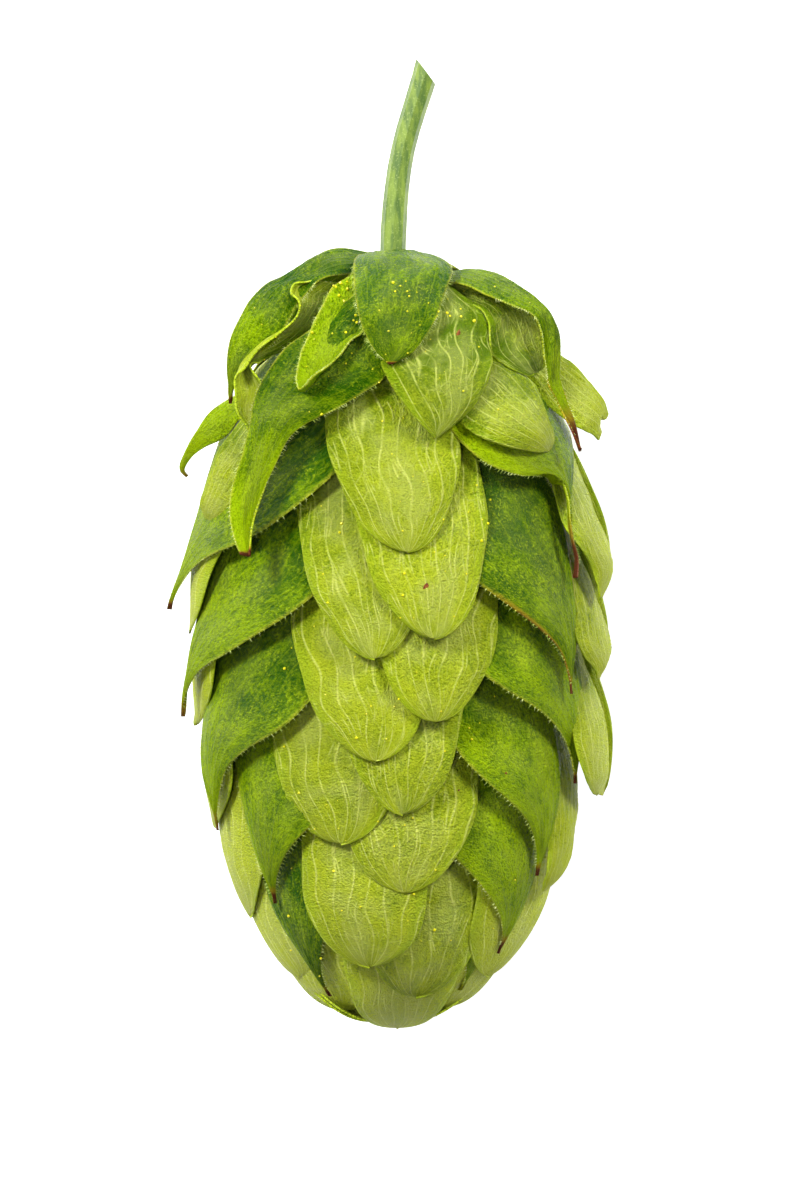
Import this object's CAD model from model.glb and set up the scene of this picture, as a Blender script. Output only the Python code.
# %% [markdown]
# A hop cone is the seed cone of the hop plant: a thin zigzag axis with small leaves shingled
# over each other like roof tiles. The pointed dark ones are bracts, the rounded pale ones are
# bracteoles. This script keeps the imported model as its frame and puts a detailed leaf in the
# place of each plain one.

import math

import bpy
import numpy as np
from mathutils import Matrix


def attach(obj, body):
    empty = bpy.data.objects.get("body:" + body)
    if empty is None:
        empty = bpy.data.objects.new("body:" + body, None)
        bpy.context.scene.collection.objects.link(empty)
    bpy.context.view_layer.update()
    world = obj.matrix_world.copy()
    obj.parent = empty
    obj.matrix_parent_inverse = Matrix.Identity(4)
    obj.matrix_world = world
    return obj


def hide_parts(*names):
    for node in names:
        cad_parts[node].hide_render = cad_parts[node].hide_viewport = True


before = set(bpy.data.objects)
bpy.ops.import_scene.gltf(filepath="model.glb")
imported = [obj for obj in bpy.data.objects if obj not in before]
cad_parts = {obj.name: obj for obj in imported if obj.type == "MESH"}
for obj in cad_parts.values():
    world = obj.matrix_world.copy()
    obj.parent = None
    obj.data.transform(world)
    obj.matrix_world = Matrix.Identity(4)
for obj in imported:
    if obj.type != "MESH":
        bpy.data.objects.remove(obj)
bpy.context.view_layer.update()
bpy.ops.object.select_all(action="DESELECT")

# %% [markdown]
# Everything hangs on the axis of the cone, which runs along Y. The closed tip in the frame
# ends in one point on that axis, so that point tells where the axis lies.

# %% Find the axis
MM = 0.001
CONE_LENGTH = 40.0
tip_point = min((v.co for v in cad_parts["tip_bud"].data.vertices), key=lambda c: c.y)
AXIS_X = tip_point.x
AXIS_Z = tip_point.z
SHOULDER_Y = tip_point.y + CONE_LENGTH * MM
print("axis at x, z in mm:", round(AXIS_X / MM, 2), round(AXIS_Z / MM, 2))

# %% [markdown]
# Real scales never cross, because each grows inside the one above it. A family of curves that
# can't cross gives the same order: each leaf has a level, the depth where it leaves the axis,
# and of two leaves the one that starts further down always lies further in. Writing the family
# as numpy functions places a whole grid of points in one call. All lengths are in millimetres.

# %% The nested family of curves
BASE_RADIUS = 0.95
TOP_LEVEL = -5.0
EVEN_LEVEL = -TOP_LEVEL * 5.0 / 3.0
REST_HEIGHT = 9.3
FULL_SPREAD = 10.04
FLAT_EASE = 0.025
SIDE_COS = 0.3
TOP_PACKING = 0.25
WIDEST_DEPTH = 18.0
TAPER = CONE_LENGTH - WIDEST_DEPTH
TURN_RUN = 3.0
TURN_SPREAD = 6.2
SPREAD_PER_MM = 0.24
FULL_RUN = 16.0


def level_to_depth(level):
    """Depth below the shoulder, with the first levels crowded together at the stem."""
    x = level - TOP_LEVEL
    crowded = TOP_PACKING * x + (1.0 - TOP_PACKING) / (2.0 * (EVEN_LEVEL - TOP_LEVEL)) * x * x
    return np.where(level >= EVEN_LEVEL, level, crowded)


def depth_to_level(depth):
    """The inverse of level_to_depth."""
    q = (1.0 - TOP_PACKING) / (2.0 * (EVEN_LEVEL - TOP_LEVEL))
    root = np.sqrt(TOP_PACKING ** 2 + 4.0 * q * np.maximum(depth, 0.0))
    x = (root - TOP_PACKING) / (2.0 * q)
    return np.where(depth >= EVEN_LEVEL, depth, x + TOP_LEVEL)


def girth(depth):
    """Share of the full width: round at the shoulder, closed at the tip."""
    shoulder = 1.0 - 0.45 * np.exp(-depth / 1.2) - 0.17 * np.exp(-depth / 6.0)
    past = np.maximum(0.0, (depth - WIDEST_DEPTH) / TAPER)
    return shoulder * np.sqrt(np.maximum(0.0, 1.0 - past * past))


def squeeze(depth, azimuth):
    """Girth, flattened where the cone lies on the surface."""
    full = girth(depth)
    down = np.maximum(-np.cos(azimuth), SIDE_COS)
    flat = (REST_HEIGHT / down - BASE_RADIUS) / FULL_SPREAD
    soft = np.log(1.0 + np.exp(-np.abs(full - flat) / FLAT_EASE)) * FLAT_EASE
    return np.where(-np.cos(azimuth) < SIDE_COS, full, np.minimum(full, flat) - soft)


def spread(run):
    """How far out a leaf has come after running this far below its level."""
    turn = 1.0 - np.clip(run, 0.0, TURN_RUN) / TURN_RUN
    return TURN_SPREAD * (1.0 - turn ** 2.5) ** 0.4 + SPREAD_PER_MM * np.maximum(run, 0.0)


def reach(level, run, azimuth):
    """Distance from the axis in millimetres."""
    depth = level_to_depth(level + run)
    return BASE_RADIUS + squeeze(depth, azimuth) * spread(run)


print("widest reach in mm:", round(float(reach(0.0, FULL_RUN, 0.0)), 2))

# %% [markdown]
# A leaf blade starts as a flat grid, the primitive closest to a thin sheet. Its points are then
# laid onto the curves: along the blade by arc length, across it at right angles to its midline,
# so that a blade that sweeps sideways keeps its own shape. Bulges, ribs and curls are added
# outwards on top, and Solidify gives the sheet its thickness.

# %% Blade helpers
rng = np.random.default_rng(7)
CLAW_HALF = 0.3
BRACT_POINT = 0.985
RIB_WAVES = 13.0
RIPPLES = ((1.3, 9.0, 1.0), (2.9, 14.0, 0.8), (4.3, 23.0, 0.5), (6.1, 31.0, 0.35))


def ease(x, low, high):
    """Smooth step from 0 at low to 1 at high."""
    t = np.clip((x - low) / (high - low), 0.0, 1.0)
    return t * t * (3.0 - 2.0 * t)


def widening(share, half, widest):
    """From the narrow claw to the widest place of the blade."""
    grown = np.sin(0.5 * np.pi * np.clip(share / widest, 0, 1)) ** 1.2
    return CLAW_HALF + (half - CLAW_HALF) * grown


def pointed_outline(share, half, widest, tail):
    """A bract: broad, then drawn in along an S curve to a narrow tail."""
    t = np.clip((share - widest) / (BRACT_POINT - widest), 0.0, 1.0)
    fall = (0.5 + 0.5 * np.cos(np.pi * t)) ** 0.8
    late = np.clip((share - widest) / (1.0 - widest), 0.0, 1.0)
    point = tail * (1.0 - late ** 5) * ease(late, 0.0, 0.3)
    return np.where(share < widest, widening(share, half, widest), half * fall + point)


def rounded_outline(share, half, widest, blunt):
    """A bracteole: an oval with a broad rounded end."""
    t = np.clip((share - widest) / (1.0 - widest), 0.0, 1.0)
    oval = half * np.maximum(0.0, 1.0 - t ** blunt) ** 0.56
    return np.where(share < widest, widening(share, half, widest), oval)


def ripple(x, share, seed):
    """Slow uneven swells, a few waves with phases of their own for every leaf."""
    total = np.zeros_like(x)
    for k, (sideways, lengthways, size) in enumerate(RIPPLES):
        wave = np.sin(sideways * x + 1.7 * seed * (k + 1))
        total += size * wave * np.cos(lengthways * share + 2.3 * seed + k)
    return total


ACROSS = 38
ALONG = 92
# The looks of a plain leaf. An entry names only what differs.
LOOKS = dict(
    across=ACROSS, along=ALONG, seed=0,
    bulge=0.26, belly=0.22, belly_from=0.45, ribs=0.035, ruck=0.08, swell=0.045, wave=0.03,
    flip_left=0.0, flip_right=0.0, roll_from=0.35, sweep_to=1.0, tail=0.12, blunt=2.6,
    lift=0.0, curl=0.0, rise=0.0, out=0.0, stand=0.0, notch=0.0,
    tone=0.5, tone_side=0.0, tone_tip=0.12, tone_base=0.3, rust=0.0, rust_from=0.93, rim_rust=0.0)
LEAVES = []


def leaf(name, level, tip_depth, base_deg, tip_deg, half, kind, **look):
    """Notes one leaf down: where it sits, how it sweeps and what is special about it."""
    LEAVES.append(dict(name=name, level=level, tip=tip_depth, base=base_deg, end=tip_deg,
                       half=half, kind=kind, look={**LOOKS, **look}))


# %% [markdown]
# A sheet laid exactly on its curve would look like tin. A living blade is pillowed, its belly
# stands out before the tip bends back in, its veins are raised, its margin is ruffled or rolled,
# and slow swells run all over it. All of that is one height, added along the outward direction.

# %% Relief of a blade
def relief(look, share, x, free):
    """Height in millimetres at each point of the grid."""
    seed = look["seed"]
    closing = 1.0 - 0.8 * ease(share, 0.80, 1.0)
    height = look["bulge"] * (1.0 - np.abs(x) ** 2.4) * free * closing
    low = look["belly_from"]
    hang = np.clip((share - low) / (1.0 - low), 0.0, 1.0)
    height += look["belly"] * np.sin(math.pi * hang)
    wander = 0.10 * np.sin(7.0 * share + seed) + 0.06 * np.sin(17.0 * share + 2.0 * seed)
    ridges = np.cos((x + wander) * RIB_WAVES) ** 8
    height += look["ribs"] * ridges * free * closing
    ruffle = np.sin(share * 15.0 + 1.7 * seed + 2.0 * np.sign(x))
    height += look["ruck"] * np.abs(x) ** 3 * ruffle * free
    rolled = ease(share, look["roll_from"], 0.85)
    height += look["flip_left"] * np.clip(-x, 0, 1) ** 3 * rolled
    height += look["flip_right"] * np.clip(x, 0, 1) ** 3 * rolled
    height += look["swell"] * ripple(x, share, seed) * free
    return height


# %% [markdown]
# The blade builder. Every nested leaf goes through it, and the look values say what makes this
# one different.

# %% Blade builder
FLOOR_GAP = 0.05
FAN_LIMIT = 1.15


def lay_blade(entry, across, along):
    """Points (in metres), and the share along and across for each point of the grid."""
    look = entry["look"]
    level = entry["level"]
    # The curve down the blade, as a table of run against arc length.
    run_end = float(depth_to_level(entry["tip"])) - level
    table_run = np.concatenate([np.linspace(0, 3, 60), np.linspace(3.05, run_end + 6, 200)])
    table_az = math.radians(entry["end"])
    table_r = reach(level, table_run, table_az)
    table_d = level_to_depth(level + table_run)
    steps = np.hypot(np.diff(table_r), np.diff(table_d))
    table_arc = np.concatenate([[0.0], np.cumsum(steps)])
    arc_end = float(np.interp(run_end, table_run, table_arc))

    share = 1.0 - (1.0 - np.linspace(0.0, 1.0, along + 1)) ** 1.25
    x = np.linspace(-1.0, 1.0, across + 1)
    share, x = np.meshgrid(share, x, indexing="ij")

    arc = share * arc_end
    run = np.interp(arc, table_arc, table_run)
    swept = ease(run / run_end, 0.05, look["sweep_to"])
    azimuth = np.radians(entry["base"] + (entry["end"] - entry["base"]) * swept)
    if entry["kind"] == "bract":
        width = pointed_outline(share, entry["half"], look.get("widest", 0.55), look["tail"])
    else:
        width = rounded_outline(share, entry["half"], look.get("widest", 0.64), look["blunt"])
    wave = look["wave"] * ease(share, 0.4, 0.8)
    width = width * (1.0 + wave * np.sin(share * 23.0 + look["seed"] + 2.0 * x))

    # Across the blade at right angles to its midline, which may sweep sideways.
    r_mid = reach(level, run, azimuth)
    d_arc = np.gradient(arc, axis=0)
    d_side = r_mid * np.gradient(azimuth, axis=0)
    size = np.hypot(d_arc, d_side) + 1e-9
    turn = ease(run, 1.5, 4.5)
    side_arc = -d_side / size * turn
    side_az = np.sqrt(np.maximum(0.0, 1.0 - side_arc ** 2))
    arc2 = np.maximum(arc + x * width * side_arc, 0.0)
    run2 = np.interp(arc2, table_arc, table_run)
    reach2 = reach(level, run2, azimuth)
    azimuth2 = azimuth + np.clip(x * width * side_az / reach2, -FAN_LIMIT, FAN_LIMIT)
    r = reach(level, run2, azimuth2)
    depth = level_to_depth(level + run2)

    # The relief and the bends of the free end.
    free = ease(share, 0.42, 0.95)
    r = r + relief(look, share, x, free)
    r = r + look["lift"] * ease(share, 0.5, 1.0)
    r = r + look["curl"] * ease(share, 0.72, 1.0) ** 2
    px = AXIS_X + r * np.sin(azimuth2) * MM
    rise = look["rise"] * ease(share, 0.6, 1.0)
    pz = np.maximum(AXIS_Z + (r * np.cos(azimuth2) + rise) * MM, FLOOR_GAP * MM)
    py = SHOULDER_Y - depth * MM
    return np.stack([px, py, pz], axis=-1), share, x, arc_end


# %% [markdown]
# The leaves at the shoulder don't sweep along one arc: they arch over, fold and hang. Such a
# leaf is easiest to describe by its two margins, a left and a right line of points. Between
# them the blade spans like the skin of a kite. Its height comes from the nested family, or from
# heights of its own where it stands free in the air.

# %% Leaves between two margins
def outlined(name, level, kind, margins, heights=None, **look):
    """Notes down a leaf by rows of left x, left depth, right x, right depth in millimetres."""
    LEAVES.append(dict(name=name, level=level, kind=kind, margins=margins, heights=heights,
                       look={**LOOKS, **look}))


def smooth_line(rows, share):
    """A soft curve through the rows (Catmull-Rom), read at the given shares."""
    rows = np.asarray(rows, float)
    ends = np.concatenate([2 * rows[:1] - rows[1:2], rows, 2 * rows[-1:] - rows[-2:-1]])
    place = share * (len(rows) - 1)
    i = np.minimum(place.astype(int), len(rows) - 2)
    t = (place - i)[:, None]
    a, b, c, d = ends[i], ends[i + 1], ends[i + 2], ends[i + 3]
    return 0.5 * (2 * b + (c - a) * t + (2 * a - 5 * b + 4 * c - d) * t ** 2
                  + (3 * b - a - 3 * c + d) * t ** 3)


def lay_outline(entry, across, along):
    """The grid of an outlined leaf, in the same form as lay_blade gives."""
    look = entry["look"]
    even = np.linspace(0.0, 1.0, along + 1)
    rows = smooth_line(entry["margins"], even)
    share, x = np.meshgrid(even, np.linspace(-1.0, 1.0, across + 1), indexing="ij")
    part = 0.5 + 0.5 * x
    px = rows[:, 0:1] * (1.0 - part) + rows[:, 2:3] * part
    depth = rows[:, 1:2] * (1.0 - part) + rows[:, 3:4] * part
    notch = look["notch"] * np.exp(-((x - 0.1) / 0.3) ** 2) * ease(share, 0.8, 1.0)
    px = px - 0.75 * notch
    depth = depth - 0.5 * notch
    if entry["heights"] is None:
        run = np.maximum(depth_to_level(np.maximum(depth, 0.02)) - entry["level"], 0.0)
        r = reach(entry["level"], run, 0.0) + look["out"] * ease(share, 0.1, 0.7)
        pz = np.sqrt(np.maximum(r * r - px * px, 0.04))
        pz = pz + look["stand"] * ease(share, 0.1, 0.7)
    else:
        high = smooth_line(entry["heights"], even)
        pz = high[:, 0:1] * (1.0 - part) + high[:, 1:2] * part
    points = np.stack([px, -depth, pz], axis=-1)
    normal = np.cross(np.gradient(points, axis=1), np.gradient(points, axis=0))
    normal /= np.linalg.norm(normal, axis=-1, keepdims=True) + 1e-9
    if (normal * points).sum(axis=-1).mean() < 0.0:
        normal = -normal
    free = np.sin(math.pi * np.clip(share * 0.93 + 0.05, 0.0, 1.0)) ** 0.6
    points += normal * relief(look, share, x, free)[..., None]
    length = float(np.linalg.norm(np.diff(points[:, across // 2], axis=0), axis=1).sum())
    points = points * MM + np.array([AXIS_X, SHOULDER_Y, AXIS_Z])
    return points, share, x, length


# %% [markdown]
# One function turns either kind of entry into a mesh. It writes where each point sits on its
# blade into attributes, for the skins to read, and lets Solidify give the sheet its thickness.

# %% New blade
THICKNESS = 0.09


def lay(entry, across, along):
    """Either way of laying, by what the entry holds."""
    return (lay_outline if "margins" in entry else lay_blade)(entry, across, along)


def vectors(items, name):
    """One vector for every vertex or face, as rows."""
    flat = np.empty(len(items) * 3)
    items.foreach_get(name, flat)
    return flat.reshape(-1, 3)


def new_blade(entry):
    """Adds the grid, lays it onto the curves, writes its attributes and thickens it."""
    look = entry["look"]
    across, along = look["across"], look["along"]
    bpy.ops.object.select_all(action="DESELECT")
    bpy.ops.mesh.primitive_grid_add(x_subdivisions=across, y_subdivisions=along, size=2.0)
    obj = bpy.context.object
    obj.name = entry["name"] + "_leaf"
    obj.data.name = obj.name
    mesh = obj.data
    flat = vectors(mesh.vertices, "co")
    column = np.rint((flat[:, 0] + 1.0) * 0.5 * across).astype(int)
    row = np.rint((flat[:, 1] + 1.0) * 0.5 * along).astype(int)
    points, share, x, length = lay(entry, across, along)
    if "margins" in entry:
        half = float(np.linalg.norm(points[:, 0] - points[:, -1], axis=1).max()) / MM / 2.0
    else:
        half = entry["half"]
    co = points[row, column]
    mesh.vertices.foreach_set("co", co.astype(np.float32).ravel())
    mesh.update()

    along_v = share[row, column]
    across_v = x[row, column]
    rust = look["rust"] * ease(along_v, look["rust_from"], 1.0)
    rim = look["rim_rust"] * ease(np.abs(across_v), 0.80, 1.0) * ease(along_v, 0.6, 0.8)
    tone = look["tone"] + look["tone_side"] * across_v
    tone = tone + look["tone_tip"] * ease(along_v, 0.55, 1.0)
    tone = tone - look["tone_base"] * (1.0 - ease(along_v, 0.35, 0.75))
    for name, values in (("rust", np.maximum(rust, rim)), ("along", along_v),
                         ("across", 0.5 + 0.5 * across_v), ("tone", tone)):
        layer = mesh.attributes.new(name, "FLOAT", "POINT")
        layer.data.foreach_set("value", np.asarray(values, np.float32))
    layer = mesh.attributes.new("blade_place", "FLOAT_VECTOR", "POINT")
    place = np.stack([across_v * half, along_v * length,
                      np.full(len(co), 3.7 * look["seed"])], axis=-1)
    layer.data.foreach_set("vector", place.astype(np.float32).ravel())

    normal = vectors(mesh.polygons, "normal")
    centre = vectors(mesh.polygons, "center") - np.array([AXIS_X, 0.0, AXIS_Z])
    outward = (normal[:, 0] * centre[:, 0] + normal[:, 2] * centre[:, 2]).sum()
    if outward < 0.0:
        mesh.flip_normals()
    sheet = obj.modifiers.new("sheet", "SOLIDIFY")
    sheet.thickness = THICKNESS * MM
    sheet.offset = -1.0
    bpy.ops.object.modifier_apply(modifier="sheet")
    bpy.ops.object.shade_smooth()
    return obj


# %% [markdown]
# First the bracts that arch over the shoulder, right under the stem. They are the oldest and
# driest leaves of the cone, so their margins are pale and their tips brown.

# %% Shoulder leaves
outlined("hood_bract", TOP_LEVEL, "bract", [
    (-0.8, 0.1, 0.68, 0.1), (-1.57, 0.22, 1.52, 0.08), (-1.96, 0.54, 2.36, 0.4),
    (-2.02, 1.18, 3.02, 1.06), (-1.96, 2.09, 2.72, 2.09), (-1.8, 3.12, 2.42, 2.99),
    (-1.57, 4.02, 2.1, 3.82), (-1.25, 4.73, 1.58, 4.66), (-0.8, 5.43, 0.94, 5.43),
    (-0.18, 5.95, -0.05, 5.97)],
    tone=0.22, tone_base=0.0, rust=1.0, rust_from=0.955, bulge=0.35, belly=0.1, ribs=0.05,
    seed=1, swell=0.09, stand=0.15)
outlined("arched_left_bract", TOP_LEVEL, "bract", [
    (-1.2, 0.05, -1.2, 1.0), (-2.47, -0.14, -2.6, 1.22), (-3.5, 0.09, -3.24, 1.34),
    (-4.27, 0.54, -3.9, 1.64), (-5.69, 1.42, -4.3, 2.0), (-6.59, 1.7, -4.7, 2.6),
    (-7.24, 2.34, -5.0, 3.3), (-7.88, 3.5, -5.7, 4.4), (-8.29, 4.66, -6.6, 5.2),
    (-8.43, 6.08, -7.55, 6.0), (-8.39, 7.11, -8.05, 6.85), (-8.34, 7.88, -8.28, 7.86)],
    [(0.6, 2.2), (1.2, 3.6), (1.6, 4.2), (2.0, 4.6), (2.6, 4.8), (3.1, 5.0), (3.6, 5.2),
     (4.0, 5.2), (4.3, 5.0), (4.3, 4.7), (4.3, 4.4), (4.3, 4.3)],
    tone=0.42, tone_tip=0.2, rust=1.0, rust_from=0.93, rim_rust=0.35, seed=2, bulge=0.25,
    belly=0.05, swell=0.12, ribs=0.05)
outlined("folded_left_bracteole", -2.1, "bracteole", [
    (-4.27, 1.64, -2.02, 1.7), (-5.05, 1.8, -2.6, 2.19), (-5.24, 2.28, -3.05, 2.34),
    (-5.05, 2.86, -3.18, 2.86), (-5.33, 3.57, -3.76, 3.95), (-6.01, 4.27, -4.4, 4.63),
    (-6.79, 4.89, -5.43, 5.15), (-7.43, 5.56, -6.53, 5.62), (-7.94, 6.33, -7.3, 6.01),
    (-7.82, 7.36, -6.66, 6.98), (-7.72, 8.33, -6.88, 7.88), (-7.1, 9.01, -7.0, 9.01)],
    [(4.4, 3.2), (4.8, 3.4), (5.3, 3.6), (5.6, 3.8), (5.7, 4.0), (5.8, 4.2), (5.8, 4.6),
     (5.6, 5.0), (5.4, 5.4), (5.3, 5.8), (5.3, 5.7), (5.3, 5.5)],
    tone=0.48, tone_side=-0.35, tone_tip=0.35, tone_base=0.0, seed=3, flip_left=0.45,
    flip_right=0.1, roll_from=-0.4, bulge=-0.25, belly=0.0, swell=0.1, ribs=0.04)
outlined("arched_right_bract", TOP_LEVEL, "bract", [
    (1.6, 1.5, 1.6, 0.6), (2.87, 1.64, 3.06, 0.98), (3.71, 1.85, 3.84, 0.92),
    (4.67, 2.37, 4.74, 1.03), (5.51, 2.69, 5.64, 1.42), (6.35, 3.03, 6.54, 2.11),
    (7.1, 3.47, 7.41, 2.76), (7.37, 4.15, 8.17, 3.48), (7.5, 5.05, 8.53, 4.27),
    (7.68, 6.08, 8.56, 5.43), (7.86, 6.91, 8.52, 6.59), (8.38, 8.01, 8.86, 7.78),
    (8.99, 9.17, 9.31, 8.91), (9.5, 10.33, 9.62, 10.33)],
    [(3.2, 0.6), (4.6, 1.6), (5.3, 2.0), (5.9, 2.4), (6.2, 2.9), (6.2, 3.5), (6.0, 4.1),
     (5.8, 4.6), (5.6, 4.9), (5.5, 5.1), (5.4, 5.2), (5.6, 5.4), (5.8, 5.6), (6.0, 5.9)],
    tone=0.45, tone_base=0.15, tone_tip=0.35, rust=1.0, rust_from=0.80, rim_rust=0.4, seed=4,
    bulge=0.3, belly=0.1, swell=0.08, ribs=0.05, flip_left=0.25, roll_from=0.0)
outlined("shaded_right_bracteole", -3.0, "bracteole", [
    (1.9, 2.1, 2.4, 1.3), (3.2, 2.6, 4.0, 1.5), (4.48, 3.0, 6.0, 2.0),
    (4.9, 3.7, 7.3, 2.7), (4.9, 4.6, 7.9, 3.6), (5.12, 5.43, 8.0, 4.56),
    (6.03, 6.08, 7.95, 5.3), (6.8, 6.44, 7.8, 5.95), (7.28, 6.36, 7.4, 6.3)],
    [(3.6, 2.4), (5.0, 3.2), (5.8, 3.7), (6.2, 3.9), (6.4, 4.0), (6.5, 4.2), (6.2, 4.5),
     (5.6, 4.8), (5.2, 5.0)],
    tone=0.2, tone_side=0.5, tone_tip=-0.2, tone_base=-0.3, seed=5, bulge=-0.1, belly=0.0)
outlined("tucked_right_bracteole", -0.5, "bracteole", [
    (2.6, 5.6, 3.6, 3.6), (3.3, 6.85, 4.7, 4.6), (3.39, 8.14, 5.12, 5.43),
    (3.42, 8.91, 5.77, 5.69), (4.03, 9.46, 6.41, 6.21), (4.87, 9.91, 7.06, 6.98),
    (5.77, 10.22, 7.57, 8.01), (6.54, 10.38, 7.89, 8.91), (7.31, 10.45, 8.11, 9.68),
    (7.96, 10.34, 8.08, 10.2)],
    tone=0.62, seed=6, rust=0.8, rust_from=0.985, bulge=0.35, belly=0.25, stand=0.55)
outlined("notched_right_bracteole", -3.0, "bracteole", [
    (5.0, 4.3, 5.6, 2.6), (5.77, 5.56, 6.54, 3.63), (7.06, 6.85, 8.54, 5.28),
    (8.09, 8.14, 9.24, 5.85), (9.37, 9.23, 10.02, 6.72), (10.15, 9.46, 10.66, 7.62),
    (10.6, 9.71, 11.1, 8.34)],
    [(2.5, 1.5), (3.2, 1.6), (3.6, 1.6), (3.6, 1.5), (3.2, 1.3), (2.6, 1.1), (2.0, 1.0)],
    tone=0.8, seed=7, notch=0.45, bulge=0.3, belly=0.2)
leaf("rear_top_bract", TOP_LEVEL, 8.5, 176, 178, 4.4, "bract", tone=0.3, seed=8, rust=0.8,
     bulge=0.1, belly=0.0, across=20, along=48)
print(len(LEAVES), "shoulder leaves")

# %% [markdown]
# Below the shoulder the tiers alternate, left and right. On the side that faces up every leaf
# is set one by one, because no two are alike on the real cone.

# %% Leaves of the upper side
outlined("left_centre_bracteole_1", -3.6, "bract", [
    (-1.6, 0.8, -0.6, 1.6), (-2.47, 1.57, -1.37, 3.0), (-3.12, 2.28, -1.54, 4.27),
    (-3.57, 3.18, -2.15, 4.92), (-4.02, 4.08, -2.6, 5.56), (-4.36, 4.98, -3.12, 6.14),
    (-4.63, 5.88, -3.7, 6.63), (-4.79, 6.72, -4.12, 7.08), (-4.6, 7.32, -4.5, 7.34)],
    tone=0.62, tone_side=-0.1, tone_base=0.1, seed=11, bulge=-0.5, belly=0.0, flip_left=0.25,
    flip_right=0.55, roll_from=-0.3, ribs=0.04, stand=0.75, swell=0.07)
outlined("left_front_bract_1", -2.4, "bract", [
    (-0.6, 0.9, 0.3, 1.8), (-1.6, 2.0, 0.6, 3.6), (-3.24, 3.3, 0.2, 5.6),
    (-4.43, 4.33, -0.41, 6.64), (-5.46, 5.15, -1.18, 7.16), (-6.33, 6.23, -1.96, 7.67),
    (-6.8, 7.11, -2.63, 8.14), (-7.0, 8.14, -3.5, 8.65), (-7.0, 9.17, -4.38, 9.17),
    (-7.16, 10.71, -5.1, 9.9), (-7.52, 12.26, -5.7, 11.0), (-7.72, 13.8, -6.4, 12.46),
    (-7.57, 15.09, -7.0, 14.1), (-7.36, 15.71, -7.26, 15.71)],
    tone=0.42, tone_tip=0.4, tone_base=0.2, rust=1.0, rust_from=0.965, seed=21, flip_left=0.55,
    flip_right=0.15, stand=0.45, bulge=0.3, belly=0.25, ribs=0.06, swell=0.08)
outlined("right_front_bract_1", 0.4, "bract", [
    (0.8, 5.0, 2.4, 3.8), (1.91, 7.4, 4.2, 5.6), (3.0, 9.36, 6.54, 6.65),
    (3.71, 10.2, 7.57, 7.3), (4.48, 10.84, 8.34, 7.94), (5.38, 11.29, 8.86, 8.91),
    (6.41, 11.59, 9.18, 10.07), (7.31, 11.61, 9.24, 11.23), (7.93, 11.64, 9.08, 12.51),
    (8.41, 12.13, 8.92, 13.16), (8.64, 13.03, 8.83, 13.54), (8.72, 13.93, 8.88, 14.19),
    (8.92, 14.96, 9.08, 15.09), (9.18, 15.86, 9.34, 15.99), (9.18, 16.87, 9.3, 16.7)],
    tone=0.62, tone_side=-0.3, tone_base=0.1, rust=1.0, rust_from=0.66, rim_rust=0.2, seed=22,
    flip_left=0.3, stand=0.55, bulge=0.25, belly=0.15, ribs=0.05, swell=0.06)
outlined("left_rear_bract_1", -2.0, "bract", [
    (-5.0, 5.6, -4.6, 7.4), (-6.2, 6.6, -6.08, 8.34), (-7.05, 6.95, -6.98, 8.75),
    (-7.75, 7.24, -7.75, 8.75), (-8.52, 7.62, -8.27, 9.3), (-9.3, 8.27, -8.91, 9.75),
    (-9.94, 9.17, -9.55, 10.07), (-10.45, 9.94, -10.07, 10.45), (-10.81, 10.71, -10.43, 10.84),
    (-10.9, 11.23, -10.66, 11.22), (-10.62, 11.62, -10.5, 11.55)],
    [(3.0, 3.6), (3.2, 4.2), (3.2, 4.2), (3.0, 4.0), (2.8, 3.6), (2.6, 3.2), (2.4, 2.8),
     (2.2, 2.5), (2.0, 2.3), (2.0, 2.2), (2.0, 2.1)],
    tone=0.95, tone_tip=0.4, rust=0.55, rust_from=0.8, seed=23, bulge=0.3, belly=0.1)

# Each row: level, depth of the tip, azimuth at the base and at the tip, half width, looks.
LEFT_CENTRE = [
    (1.65, 15.5, -6, 4, 3.3, dict(tone=0.55, blunt=2.2, swell=0.06)),
    (6.3, 20.9, -20, -5, 3.0, dict(tone=0.5, blunt=2.8)),
    (11.1, 26.1, -18, -5, 3.5, dict(tone=0.6, blunt=2.4)),
    (15.9, 30.3, -24, -17, 3.5, dict(tone=0.52, blunt=3.2)),
    (20.7, 36.6, -12, -10, 3.3, dict(tone=0.6, blunt=3.0, lift=0.5)),
    (25.5, 39.9, 3, 5, 3.1, dict(tone=0.7, blunt=2.2)),
]
LEFT_BRACT = [
    (2.7, 18.4, -20, -86, 4.3, dict(tone=0.38, tone_tip=0.35, rust=1.0, curl=0.6, sweep_to=1.0,
                                    rust_from=0.96, flip_left=0.2)),
    (7.5, 23.9, -22, -76, 4.4, dict(tone=0.40, tone_tip=0.3, rust=0.7, tail=0.18, curl=0.4,
                                    sweep_to=0.95, ribs=0.06)),
    (12.3, 29.7, -24, -67, 4.4, dict(tone=0.34, tone_tip=0.3, rust=0.7, tail=0.18,
                                     sweep_to=0.85, swell=0.07)),
    (17.1, 33.4, -28, -47, 4.2, dict(tone=0.38, rust=1.0, rust_from=0.94, tail=0.3)),
    (21.9, 38.2, -34, -40, 3.0, dict(tone=0.2, rust=0.9, rust_from=0.95)),
]
RIGHT_CENTRE = [
    (3.9, 19.9, 6, 11, 3.4, dict(tone=0.58, blunt=2.2)),
    (8.7, 24.1, 16, 12, 3.4, dict(tone=0.55, blunt=2.5)),
    (13.5, 28.8, 4, 3, 3.1, dict(tone=0.5, blunt=2.6)),
    (18.3, 32.8, 10, 4, 3.5, dict(tone=0.56, blunt=2.6, lift=0.3)),
    (23.1, 38.2, 12, 13, 3.3, dict(tone=0.5, blunt=2.4, lift=0.2, swell=0.12, ruck=0.16)),
]
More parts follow.
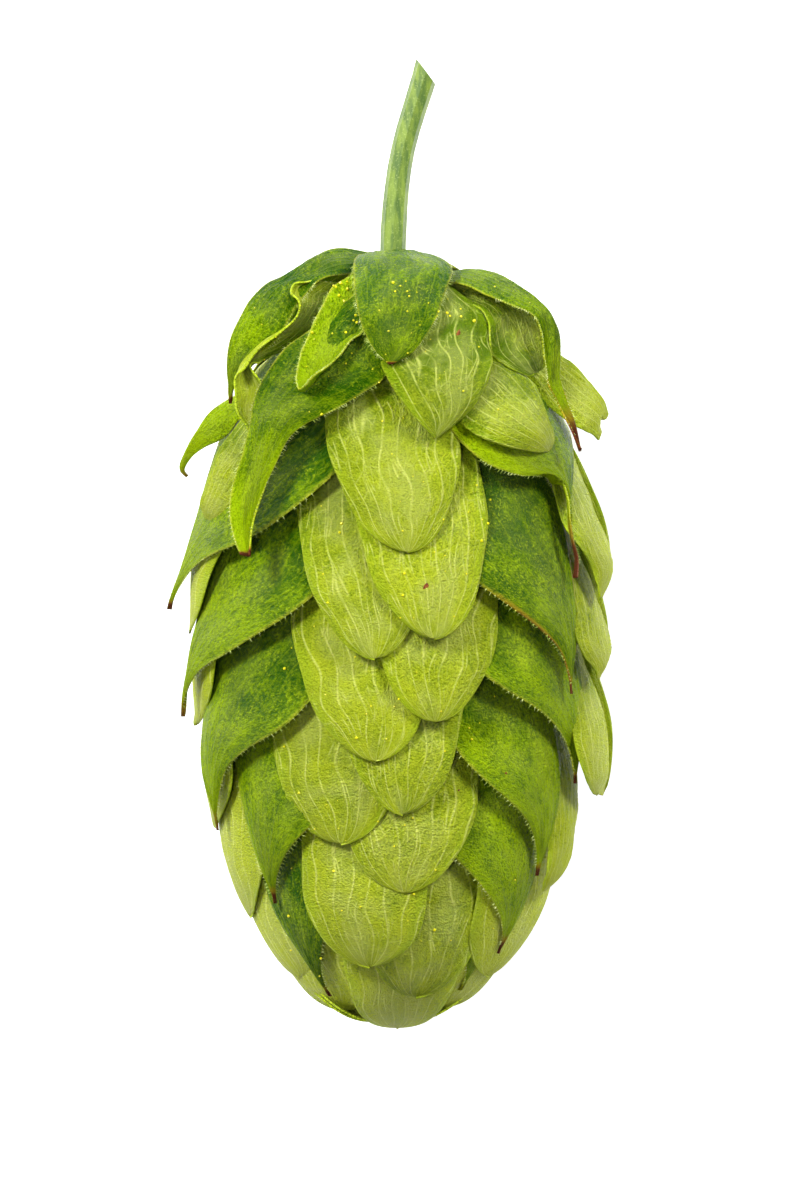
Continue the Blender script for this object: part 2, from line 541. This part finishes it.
RIGHT_BRACT = [
    (5.1, 22.7, 22, 55, 4.3, dict(tone=0.32, rust=1.0, rust_from=0.94, rim_rust=0.6,
                                  tail=0.25, sweep_to=0.9, ribs=0.06)),
    (9.9, 27.3, 24, 64, 4.4, dict(tone=0.45, rust=0.9, rust_from=0.955, tail=0.2,
                                  sweep_to=0.95, ribs=0.06)),
    (14.7, 32.0, 26, 55, 4.2, dict(tone=0.5, rust=0.9, rust_from=0.955, tail=0.22,
                                   sweep_to=0.95)),
    (19.5, 36.0, 28, 52, 4.2, dict(tone=0.5, rust=1.0, rust_from=0.93, tail=0.35)),
    (24.3, 37.9, 34, 43, 3.4, dict(tone=0.5, rust=0.3)),
]
outlined("right_centre_bracteole_1", -1.4, "bracteole", [
    (0.9, 1.6, 2.4, 1.4), (0.3, 2.6, 3.58, 2.3), (-0.2, 3.6, 4.48, 2.99),
    (-0.61, 4.66, 4.89, 3.76), (-0.67, 5.56, 5.0, 4.66), (-0.48, 6.33, 5.0, 5.56),
    (-0.03, 7.24, 4.8, 6.46), (0.68, 8.2, 4.48, 7.36), (1.39, 9.06, 3.77, 8.46),
    (2.16, 9.69, 2.3, 9.69)],
    tone=0.26, tone_tip=0.25, seed=12, bulge=0.3, belly=0.3, stand=0.35, ribs=0.05)

for side, centre_rows, bract_rows in (("left", LEFT_CENTRE, LEFT_BRACT),
                                      ("right", RIGHT_CENTRE, RIGHT_BRACT)):
    for kind, rows in (("centre_bracteole", centre_rows), ("front_bract", bract_rows)):
        shape = "bract" if kind == "front_bract" else "bracteole"
        for i, (level, tip, base, end, half, look) in enumerate(rows):
            # Every leaf gets a number of its own, so that no two ripple alike.
            look.setdefault("seed", 10 * i + len(kind) + len(side))
            if shape == "bract":
                look.setdefault("belly", 0.34)
                look.setdefault("ribs", 0.05)
            leaf(f"{side}_{kind}_{i + 2}", level, tip, base, end, half, shape, **look)
print(len(LEAVES), "leaves so far")

# %% [markdown]
# The sides and the underside follow a rule with small seeded differences: a side bracteole, a
# rear bract and a rear bracteole in each tier.

# %% Leaves of the sides and the underside
TIER_STEP = 4.8
FIRST_LEVEL = {"left": -3.3, "right": -0.9}
SIDE_BELOW = 2.4
BRACT_BELOW = 1.9
LAST_TIERS = 5
# Each row: depth of the tip, azimuth at the base and at the tip, half width. The tiers marked
# None have a side bracteole with margins of its own.
SIDE_ROWS = {
    "left": [None, (19.6, -76, -86, 4.0), (24.3, -76, -86, 4.2), (29.6, -74, -84, 4.2),
             (34.2, -72, -80, 4.2), (37.3, -60, -63, 4.0), (39.0, -50, -50, 3.4)],
    "right": [None, None, None, None, (37.2, 58, 60, 3.8), (38.8, 46, 46, 3.2)],
}
# Each row: azimuth at the base and at the tip, half width; for most tiers and for the last ones.
REAR_BRACTS = {
    "left": ((128, 116, 4.6), (110, 102, 5.2)),
    "right": ((122, 110, 5.9), (108, 100, 5.4)),
}
REAR_BRACTEOLES = ((162.5, 161, 4.0), (146.0, 142, 5.2))
# The last tiers bend in and rise to the axis, which closes the tip.
BRACT_CLOSING = dict(widest=0.68, tail=0.5, lift=-1.2, rise=2.2)
BRACTEOLE_CLOSING = dict(lift=-1.2, rise=3.4)
outlined("right_side_bracteole_1", 1.5, "bracteole", [
    (5.6, 7.6, 6.4, 6.0), (6.8, 9.6, 8.2, 8.3), (7.8, 11.2, 9.4, 10.3),
    (8.4, 12.8, 10.25, 12.1), (8.9, 14.4, 10.85, 13.6), (9.5, 15.4, 11.15, 15.0),
    (10.1, 16.2, 11.15, 16.2), (10.38, 17.0, 11.0, 17.1), (10.6, 17.8, 10.75, 17.8)],
    tone=0.75, seed=41, out=0.45, bulge=0.3, belly=0.15)
outlined("right_side_bracteole_2", 6.3, "bracteole", [
    (6.2, 12.6, 7.6, 11.6), (7.6, 14.4, 9.2, 13.6), (8.7, 16.2, 10.2, 15.8),
    (9.0, 18.0, 10.75, 17.6), (9.15, 19.6, 11.05, 19.1), (9.7, 20.8, 11.05, 20.4),
    (10.25, 21.5, 10.85, 21.3), (10.45, 21.95, 10.58, 21.95)],
    tone=0.8, seed=42, out=0.55, bulge=0.3, belly=0.15)
outlined("right_side_bracteole_3", 11.1, "bracteole", [
    (6.2, 17.6, 7.6, 16.6), (7.6, 19.4, 9.2, 18.6), (8.8, 21.2, 10.2, 20.8),
    (9.05, 22.6, 10.85, 22.6), (9.15, 24.4, 11.25, 24.2), (9.35, 26.0, 11.3, 25.8),
    (9.75, 27.1, 11.12, 27.2), (10.35, 27.9, 10.8, 27.98)],
    tone=0.8, seed=43, out=0.75, bulge=0.3, belly=0.15, notch=0.2)
outlined("right_side_bracteole_4", 15.9, "bracteole", [
    (5.6, 22.6, 7.2, 21.6), (6.8, 24.6, 8.8, 24.0), (7.6, 26.8, 9.4, 26.2),
    (7.9, 28.6, 9.5, 28.0), (7.9, 30.2, 9.3, 29.6), (7.75, 31.4, 8.95, 31.0),
    (7.65, 32.3, 8.4, 32.1), (7.65, 32.8, 7.85, 32.8)],
    tone=0.85, seed=44, out=0.5, bulge=0.3, belly=0.15)
outlined("left_side_bracteole_1", -0.9, "bracteole", [
    (-4.0, 5.0, -3.6, 8.0), (-6.2, 7.0, -5.2, 9.6), (-7.7, 8.6, -6.1, 10.6),
    (-8.5, 9.8, -6.7, 11.5), (-9.06, 10.7, -7.2, 12.4), (-9.5, 12.1, -7.8, 13.2),
    (-9.75, 13.0, -8.6, 13.8), (-9.68, 13.7, -9.3, 13.9)],
    [(5.6, 7.0), (5.2, 7.0), (4.6, 6.8), (4.2, 6.4), (3.9, 6.0), (3.6, 5.4), (3.5, 4.6),
     (3.6, 4.0)],
    tone=0.7, seed=39, bulge=0.3, belly=0.2)


def rear_tip(level, run, shortest, deepest):
    """Depth of a rear leaf's tip: a full run down, or less where the cone ends."""
    run = min(run, CONE_LENGTH - level - shortest)
    return min(float(level_to_depth(level + run)), deepest)


for side, sign in (("left", -1), ("right", 1)):
    for i, row in enumerate(SIDE_ROWS[side]):
        level = FIRST_LEVEL[side] + TIER_STEP * i
        run = 14.5 if (side == "left" and i == 0) else FULL_RUN
        last = i >= LAST_TIERS
        if row:
            tip, base, end, half = row
            leaf(f"{side}_side_bracteole_{i + 1}", level + SIDE_BELOW, tip, base, end, half,
                 "bracteole", tone=0.78 + rng.uniform(-0.05, 0.05), seed=40 + i + sign, bulge=0.2,
                 belly=0.5, belly_from=0.5, lift=-0.3, blunt=2.8, widest=0.70, wave=0.05,
                 ruck=0.12, along=72, across=32)
        if side == "right" or i > 0:
            base, end, half = REAR_BRACTS[side][last]
            leaf(f"{side}_rear_bract_{i + 1}", level + BRACT_BELOW,
                 39.3 if last else rear_tip(level + 1.3, run, 1.1, 39.0), sign * base,
                 sign * (end + rng.uniform(-3, 3)), half, "bract",
                 tone=0.25 + rng.uniform(-0.05, 0.08), rust=rng.uniform(0.2, 1.0), seed=50 + i,
                 bulge=0.1, belly=0.05, along=56, across=24, **(BRACT_CLOSING if last else {}))
        base, end, half = REAR_BRACTEOLES[last]
        leaf(f"{side}_rear_bracteole_{i + 1}", level,
             39.6 if last else rear_tip(level, run, 1.4, 39.6), sign * base,
             sign * (end + rng.uniform(-1, 1)), half, "bracteole",
             tone=0.75 + rng.uniform(-0.06, 0.06), seed=60 + i, bulge=0.05, belly=0.05,
             along=56, across=24, **(BRACTEOLE_CLOSING if last else {}))
print(len(LEAVES), "leaves in all")

# %% [markdown]
# The pale bracteoles are papery and veined, the bracts are darker. Both skins are mixed from the
# same layers by shader nodes, and the patterns follow the blade through its own attributes, so
# they bend with it. A few helpers keep the node code short.

# %% Node helpers
def nodes_of(material):
    """Switches nodes on and gives back the tree and its Principled shader."""
    material.use_nodes = True
    tree = material.node_tree
    return tree, tree.nodes["Principled BSDF"]


def feed(tree, node, inputs):
    """Gives each named input a number, a colour or the output of another node."""
    for name, value in inputs.items():
        socket = node.inputs[name]
        if isinstance(value, bpy.types.NodeSocket):
            tree.links.new(value, socket)
        else:
            socket.default_value = (*value, 1.0) if socket.type == "RGBA" else value


def attribute(tree, name, socket="Fac"):
    """One of the values that new_blade wrote onto the mesh."""
    node = tree.nodes.new("ShaderNodeAttribute")
    node.attribute_name = name
    return node.outputs[socket]


def math_node(tree, operation, *values):
    """A sum, a product or the like, of numbers and sockets."""
    node = tree.nodes.new("ShaderNodeMath")
    node.operation = operation
    feed(tree, node, dict(enumerate(values)))
    return node.outputs[0]


def times(tree, first, second):
    """A product, the most common of them."""
    return math_node(tree, "MULTIPLY", first, second)


def remap(tree, value, low, high, to_low=0.0, to_high=1.0):
    """A smooth step of the value, from one range to another."""
    node = tree.nodes.new("ShaderNodeMapRange")
    node.interpolation_type = "SMOOTHSTEP"
    feed(tree, node, {"Value": value, "From Min": low, "From Max": high, "To Min": to_low,
                      "To Max": to_high})
    return node.outputs["Result"]


def noise(tree, vector, scale, detail=2.0, rough=0.5):
    """Cloudy noise around one half."""
    node = tree.nodes.new("ShaderNodeTexNoise")
    feed(tree, node, {"Vector": vector, "Scale": scale, "Detail": detail, "Roughness": rough})
    return node.outputs["Fac"]


def mix(tree, factor, first, second):
    """Two colours mixed by a factor. Inputs 6 and 7 are the colours of this node."""
    node = tree.nodes.new("ShaderNodeMix")
    node.data_type = "RGBA"
    feed(tree, node, {"Factor": factor, 6: first, 7: second})
    return node.outputs[2]


def srgb(red, green, blue):
    """A colour as seen on a screen, 0 to 255, turned into the linear values of a shader."""
    return tuple((v / 255.0 / 12.92) if v <= 10 else ((v / 255.0 + 0.055) / 1.055) ** 2.4
                 for v in (red, green, blue))


# %% [markdown]
# The veins run along the blade and bend gently, and a few short ones branch off at a slant. The
# share across the blade, times a count, makes evenly spaced lines. Slow noise bends them.

# %% Vein pattern
def vein_lines(tree, place, count, slant, width, wobble):
    """Smooth lines along the blade: the share across, times a count, gently bent."""
    shake = noise(tree, place, 0.42, 0.0)
    shifted = math_node(tree, "ADD", attribute(tree, "across"), times(tree, shake, wobble))
    leaned = math_node(tree, "ADD", shifted, times(tree, attribute(tree, "along"), slant))
    scaled = times(tree, leaned, count)
    part = math_node(tree, "ABSOLUTE",
                     math_node(tree, "SUBTRACT", math_node(tree, "FRACT", scaled), 0.5))
    return remap(tree, part, 0.0, width, 1.0, 0.0)


def net_lines(tree, place, scale, width):
    """The small veins between the long ones, as the borders of cells."""
    node = tree.nodes.new("ShaderNodeTexVoronoi")
    node.feature = "DISTANCE_TO_EDGE"
    stretch = tree.nodes.new("ShaderNodeVectorMath")
    stretch.operation = "MULTIPLY"
    feed(tree, stretch, {0: place, 1: (1.0, 0.45, 1.0)})
    feed(tree, node, {"Vector": stretch.outputs[0], "Scale": scale})
    return remap(tree, node.outputs["Distance"], 0.0, width, 1.0, 0.0)


# %% [markdown]
# The skin of a leaf, layer by layer: a mottle of two greens, darker pits, pale specks, a bloom
# in the middle and a greener border, then the veins, the pale margin, and last the dried parts
# with a yellow halo around the brown. The same mottle and veins also drive roughness and bump.

# %% Leaf skins
SPECK_COLOUR = srgb(204, 222, 40)
BLOOM_COLOUR = srgb(182, 192, 96)
BORDER_COLOUR = srgb(142, 176, 14)
HALO_COLOUR = srgb(172, 150, 30)
DRY_COLOUR = srgb(112, 58, 30)


def raise_bump(tree, shader, height, strength, distance):
    """Turns a height into fine relief on the surface."""
    node = tree.nodes.new("ShaderNodeBump")
    feed(tree, node, {"Height": height, "Strength": strength, "Distance": distance})
    feed(tree, shader, {"Normal": node.outputs["Normal"]})


def leaf_skin(name, dark, light, vein, margin, rough, shine, vein_strength, net_strength, glint,
              bloom, bumpy):
    """One skin for all leaves of a kind: their own attributes make them differ."""
    material = bpy.data.materials.new(name)
    tree, shader = nodes_of(material)
    place = attribute(tree, "blade_place", "Vector")
    tone = attribute(tree, "tone")
    across = attribute(tree, "across")
    rust = attribute(tree, "rust")

    patches = noise(tree, place, 0.55, 3.0)
    grain = noise(tree, place, 4.5, 4.0, 0.75)
    fine = noise(tree, place, 9.0, 2.0, 0.6)
    blend = tone
    for layer, weight in ((patches, 0.8), (grain, 1.2)):
        shifted = math_node(tree, "SUBTRACT", layer, 0.5)
        blend = math_node(tree, "ADD", blend, times(tree, shifted, weight))
    colour = mix(tree, remap(tree, blend, 0.0, 1.0), dark, light)
    pit = remap(tree, fine, 0.46, 0.34)
    colour = mix(tree, times(tree, pit, 0.35), colour, dark)
    speck = times(tree, remap(tree, fine, 0.54, 0.66),
                  remap(tree, noise(tree, place, 0.9, 2.0), 0.40, 0.62, 0.15, 1.0))
    colour = mix(tree, times(tree, speck, glint), colour, SPECK_COLOUR)

    edge = math_node(tree, "ABSOLUTE", math_node(tree, "SUBTRACT", across, 0.5))
    inside = times(tree, remap(tree, edge, 0.40, 0.20),
                   remap(tree, noise(tree, place, 0.45, 3.0, 0.6), 0.36, 0.62))
    colour = mix(tree, times(tree, inside, bloom), colour, BLOOM_COLOUR)
    border = times(tree, remap(tree, edge, 0.34, 0.48), remap(tree, patches, 0.36, 0.60))
    colour = mix(tree, times(tree, border, bloom), colour, BORDER_COLOUR)
    rim = remap(tree, edge, 0.468, 0.5)
    long_veins = vein_lines(tree, place, 7.0, 0.0, 0.10, 0.18)
    branch_left = vein_lines(tree, place, 4.0, 0.35, 0.045, 0.20)
    branch_right = vein_lines(tree, place, 4.0, -0.35, 0.045, 0.20)
    some = remap(tree, noise(tree, place, 0.7, 1.0), 0.45, 0.6)
    branches = times(tree, math_node(tree, "MAXIMUM", branch_left, branch_right), some)
    veins = math_node(tree, "MAXIMUM", long_veins, branches)
    uneven = remap(tree, noise(tree, place, 1.3, 2.0), 0.35, 0.6, 0.3, 1.0)
    veins = times(tree, times(tree, veins, uneven), vein_strength)
    net = times(tree, net_lines(tree, place, 1.7, 0.06), net_strength)
    lines = math_node(tree, "MAXIMUM", veins, times(tree, net, some))
    colour = mix(tree, lines, colour, vein)
    rim_part = remap(tree, grain, 0.35, 0.6, 0.25, 0.8)
    colour = mix(tree, times(tree, rim, rim_part), colour, margin)

    ragged = math_node(tree, "ADD", rust,
                       times(tree, math_node(tree, "SUBTRACT", grain, 0.5), 0.5))
    halo = remap(tree, ragged, 0.12, 0.5)
    colour = mix(tree, halo, colour, HALO_COLOUR)
    burnt = remap(tree, ragged, 0.42, 0.75)
    colour = mix(tree, burnt, colour, DRY_COLOUR)
    roughness = remap(tree, grain, 0.3, 0.7, rough - 0.12, rough + 0.14)
    feed(tree, shader, {"Base Color": colour, "Roughness": roughness, "IOR": 1.28,
                        "Specular IOR Level": shine, "Subsurface Weight": 0.12,
                        "Subsurface Scale": 0.0006, "Subsurface Radius": (0.4, 0.6, 0.05)})

    height = times(tree, lines, 0.5)
    for layer, weight in ((grain, 1.0), (fine, 0.9)):
        height = math_node(tree, "ADD", height, times(tree, layer, weight))
    raise_bump(tree, shader, height, 0.9, bumpy)
    return material


bract_skin = leaf_skin(
    "bract skin", dark=srgb(40, 88, 0), light=srgb(178, 210, 4), vein=srgb(180, 208, 0),
    margin=srgb(200, 206, 60), rough=0.40, shine=0.22, vein_strength=0.20, net_strength=0.10,
    glint=0.30, bloom=0.12, bumpy=0.00044)
bracteole_skin = leaf_skin(
    "bracteole skin", dark=srgb(88, 118, 0), light=srgb(184, 198, 38), vein=srgb(224, 234, 116),
    margin=srgb(186, 208, 44), rough=0.50, shine=0.24, vein_strength=0.66, net_strength=0.25,
    glint=0.35, bloom=0.42, bumpy=0.00032)
print("leaf skins ready")

# %% [markdown]
# Now the leaves themselves. Each one stands for its plain solid in the frame. The last small
# tiers together stand for the closed tip.

# %% Build the leaves
triangles = 0
for entry in LEAVES:
    blade = new_blade(entry)
    blade.data.materials.append(bract_skin if entry["kind"] == "bract" else bracteole_skin)
    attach(blade, "root")
    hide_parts(entry["name"] if entry["name"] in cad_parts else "tip_bud")
    triangles += len(blade.data.polygons) * 2
print(len(LEAVES), "leaves,", triangles, "triangles")

# %% [markdown]
# Small things that repeat, such as hairs and grains, are modelled once and then copied hundreds
# of times into one mesh, which stays light because each copy has so few faces.

# %% Copies of one small shape
def shape_of(obj):
    """Takes a primitive's points and faces and removes the object."""
    points = np.array([v.co[:] for v in obj.data.vertices])
    faces = [tuple(p.vertices) for p in obj.data.polygons]
    bpy.data.objects.remove(obj)
    return points, faces


def turn_up(direction):
    """Three axes as rows, with the third along the direction."""
    up = direction / (np.linalg.norm(direction) + 1e-12)
    side = np.cross(up, (0.3, 0.8, 0.5))
    side /= np.linalg.norm(side)
    return np.stack([side, np.cross(up, side), up])


def scatter(name, shape, places, material):
    """One mesh with a copy of the shape at each place: (point, direction, size)."""
    points, faces = shape
    all_points = []
    all_faces = []
    for i, (where, direction, size) in enumerate(places):
        all_points.append(points * np.asarray(size) @ turn_up(direction) + where)
        all_faces += [tuple(k + i * len(points) for k in face) for face in faces]
    mesh = bpy.data.meshes.new(name)
    mesh.from_pydata(np.concatenate(all_points).tolist(), [], all_faces)
    obj = bpy.data.objects.new(name, mesh)
    bpy.context.scene.collection.objects.link(obj)
    mesh.materials.append(material)
    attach(obj, "root")
    print(name, len(places), "copies,", len(all_faces), "faces")


def two_tone(name, scale, span, first, second, rough):
    """A plain skin that drifts between two colours from copy to copy."""
    material = bpy.data.materials.new(name)
    tree, shader = nodes_of(material)
    place = tree.nodes.new("ShaderNodeTexCoord").outputs["Object"]
    drift = remap(tree, noise(tree, place, scale, 2.0), *span)
    feed(tree, shader, {"Base Color": mix(tree, drift, first, second), "Roughness": rough})
    return material


# %% [markdown]
# Up close the margins of the bracts are fringed with short stiff hairs. One hair is a slim cone
# with three sides, rooted just inside the margin and pointing outwards.

# %% Margin hairs
HAIRS_PER_MARGIN = 150
HAIR_ROWS = (26, 88)
HAIR_RADIUS = 0.010
HAIR_LENGTH = (0.12, 0.30)
HAIR_DROOP = np.array([0.0, -0.35, 0.15])

bpy.ops.object.select_all(action="DESELECT")
bpy.ops.mesh.primitive_cone_add(vertices=3, radius1=1.0, radius2=0.0, depth=1.0,
                                location=(0.0, 0.0, 0.5))
bpy.ops.object.transform_apply(location=True, rotation=True, scale=True)
hair_shape = shape_of(bpy.context.object)

hair_places = []
for entry in LEAVES:
    hidden = "rear_bract" in entry["name"] or entry["name"] == "rear_top_bract"
    if entry["kind"] != "bract" or hidden:
        continue
    points = lay(entry, ACROSS, ALONG)[0]
    for column, inner in ((0, 1), (-1, -2)):
        for _ in range(HAIRS_PER_MARGIN):
            row = int(rng.uniform(*HAIR_ROWS))
            root = points[row, column]
            out = root - points[row, inner]
            out = out / (np.linalg.norm(out) + 1e-12)
            out = out + rng.normal(0.0, 0.35, 3) + HAIR_DROOP
            length = rng.uniform(*HAIR_LENGTH) * MM
            hair_places.append((root - 0.01 * MM * out, out,
                                (HAIR_RADIUS * MM, HAIR_RADIUS * MM, length)))

hair_skin = two_tone("margin hair", 1500.0, (0.35, 0.65), srgb(176, 200, 70),
                     srgb(222, 232, 150), 0.5)
scatter("margin_hairs", hair_shape, hair_places, hair_skin)

# %% [markdown]
# Between the scales a ripe cone holds lupulin, yellow resin grains about a tenth of a millimetre
# across. Some have fallen onto the leaves. Each grain is a small ball, dropped straight down
# onto whatever leaf lies highest at that spot.

# %% Lupulin grains
PATCH = 0.16
FEW_GRAINS = (0.06, 0.095)
DUST_GRAINS = (0.03, 0.06)
DUST_COUNT = 110
surface = np.concatenate([lay(entry, ACROSS, ALONG)[0].reshape(-1, 3) for entry in LEAVES])


def top_at(x, depth):
    """The highest leaf point near a spot, given in millimetres from axis and shoulder."""
    dx = np.abs(surface[:, 0] - (AXIS_X + x * MM))
    dy = np.abs(surface[:, 1] - (SHOULDER_Y - depth * MM))
    near = surface[(dx < PATCH * MM) & (dy < PATCH * MM)]
    return near[np.argmax(near[:, 2])] if len(near) else None


GRAIN_SPOTS = [
    (-3.1, 1.76), (-2.8, 1.83), (-2.55, 1.66), (-2.67, 2.28), (-2.63, 2.54), (-2.2, 1.9),
    (-2.02, 3.31), (-2.0, 3.57), (-1.95, 3.79), (-2.4, 4.15), (-4.0, 4.2), (-0.13, 1.7),
    (0.18, 2.1), (2.42, 3.12), (3.5, 2.98), (3.6, 3.32), (2.9, 3.2), (4.25, 3.6),
    (3.64, 7.24), (-0.55, 8.8), (-3.72, 8.62), (0.35, 14.4), (0.72, 16.5), (5.05, 12.7),
    (4.9, 13.95), (4.65, 14.8), (-2.72, 13.9), (-2.78, 14.4), (0.52, 17.6), (5.5, 8.1),
    (-3.4, 18.2), (-5.6, 21.3), (-2.0, 24.8), (4.1, 24.9), (-4.9, 27.7), (-3.1, 31.8),
    (-5.4, 34.2), (-5.3, 36.0), (-0.6, 29.2), (2.2, 34.8), (-3.6, 36.3), (1.2, 33.0),
]
placed_by_hand = len(GRAIN_SPOTS)
for _ in range(DUST_COUNT):
    spread_down = rng.uniform(0.0, 1.0) ** 1.5
    GRAIN_SPOTS.append((rng.normal(-0.3, 3.4), 1.5 + 36.0 * spread_down))

bpy.ops.object.select_all(action="DESELECT")
bpy.ops.mesh.primitive_ico_sphere_add(subdivisions=1, radius=1.0)
grain_shape = shape_of(bpy.context.object)
grain_places = []
for i, (x, depth) in enumerate(GRAIN_SPOTS):
    top = top_at(x, depth)
    if top is None:
        continue
    size = rng.uniform(*(FEW_GRAINS if i < placed_by_hand else DUST_GRAINS))
    grain_places.append((top + np.array([0.0, 0.0, 0.4 * size * MM]), rng.normal(0.0, 1.0, 3),
                         (size * MM, size * MM, size * rng.uniform(0.8, 1.2) * MM)))

grain_skin = two_tone("lupulin", 900.0, (0.4, 0.6), srgb(204, 200, 0), srgb(238, 226, 20), 0.35)
scatter("lupulin_grains", grain_shape, grain_places, grain_skin)

# %% [markdown]
# A few brown specks of dried leaf lie on the bracteoles. They reuse the ball of the grains,
# pressed flat.

# %% Dry flecks
fleck_places = []
for x, depth, wide, long in ((1.80, 17.15, 0.16, 0.26), (3.38, 4.35, 0.12, 0.32),
                             (5.85, 26.70, 0.06, 0.09), (3.45, 27.60, 0.06, 0.07)):
    top = top_at(x, depth)
    fleck_places.append((top, np.array([0.25, 1.0, 0.35]), (wide * MM, 0.03 * MM, long * MM)))
fleck_skin = two_tone("dry fleck", 6000.0, (0.4, 0.6), srgb(110, 50, 16), srgb(160, 92, 40), 0.7)
scatter("dry_flecks", grain_shape, fleck_places, fleck_skin)

# %% [markdown]
# The stem keeps the shape it has in the frame and only gets a skin: mottled green with a fine
# pale fuzz.

# %% Stem skin
stem_skin = bpy.data.materials.new("stem skin")
tree, shader = nodes_of(stem_skin)
here = tree.nodes.new("ShaderNodeTexCoord").outputs["Object"]
streak = tree.nodes.new("ShaderNodeMapping")
feed(tree, streak, {"Vector": here, "Scale": (1.0, 0.25, 1.0)})
long_mottle = noise(tree, streak.outputs["Vector"], 2600.0, 4.0, 0.6)
fleck = noise(tree, here, 9000.0, 3.0, 0.6)
green = mix(tree, remap(tree, long_mottle, 0.35, 0.65), srgb(66, 98, 8), srgb(116, 140, 34))
green = mix(tree, times(tree, remap(tree, fleck, 0.55, 0.7), 0.35), green, srgb(176, 190, 104))
feed(tree, shader, {"Base Color": green, "Roughness": 0.6, "Sheen Weight": 0.3})
raise_bump(tree, shader, long_mottle, 0.4, 0.00008)
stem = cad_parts["stem"]
stem.data.materials.clear()
stem.data.materials.append(stem_skin)

# %% [markdown]
# A white surface under two soft lights, one on each side towards the stem, so that every leaf
# throws a soft shadow onto the one below it. A weaker light from above fills those shadows.

# %% Surface and lights
AIM = np.array([0.0, -0.004, 0.01])

bpy.ops.object.select_all(action="DESELECT")
bpy.ops.mesh.primitive_plane_add(size=1.2, location=(0.0, 0.0, -0.00002))
table = bpy.context.object
table.name = "white_surface"
white = bpy.data.materials.new("white surface")
tree, shader = nodes_of(white)
feed(tree, shader, {"Base Color": (0.9, 0.9, 0.9), "Roughness": 0.9,
                    "Emission Color": (1.0, 1.0, 1.0), "Emission Strength": 0.5})
table.data.materials.append(white)


def soft_light(name, place, size, power):
    """A square area light that looks at the middle of the cone."""
    bpy.ops.object.light_add(type="AREA", location=place)
    light = bpy.context.object
    light.name = name
    light.data.size = size
    light.data.energy = power
    aim = AIM - np.array(place)
    flat = math.hypot(aim[0], aim[1])
    light.rotation_euler = (math.atan2(flat, -aim[2]), 0.0,
                            math.atan2(aim[1], aim[0]) - math.pi / 2)


soft_light("left light", (-0.38, 0.36, 0.42), 0.16, 6.4)
soft_light("right light", (0.42, 0.38, 0.38), 0.20, 4.8)
soft_light("top fill", (-0.10, -0.02, 0.66), 0.14, 1.5)

world = bpy.data.worlds.new("soft fill")
bpy.context.scene.world = world
world.use_nodes = True
feed(world.node_tree, world.node_tree.nodes["Background"],
     {"Color": (1.0, 1.0, 1.0), "Strength": 0.08})
bpy.context.scene.view_settings.view_transform = "Standard"

# %% [markdown]
# The camera looks straight down through a long lens, with the stem at the top of the picture.

# %% Camera
CAMERA_HEIGHT = 0.62
SENSOR_HEIGHT = 24.0
VIEW_HEIGHT = 0.0619
bpy.ops.object.camera_add(location=(AXIS_X + 0.36 * MM, SHOULDER_Y - 17.97 * MM, CAMERA_HEIGHT),
                          rotation=(0.0, 0.0, 0.0))
camera = bpy.context.object
camera.name = "camera"
camera.data.sensor_fit = "VERTICAL"
camera.data.sensor_height = SENSOR_HEIGHT
camera.data.lens = SENSOR_HEIGHT * (CAMERA_HEIGHT - AXIS_Z) / VIEW_HEIGHT
camera.data.clip_start = 0.01
bpy.context.scene.camera = camera
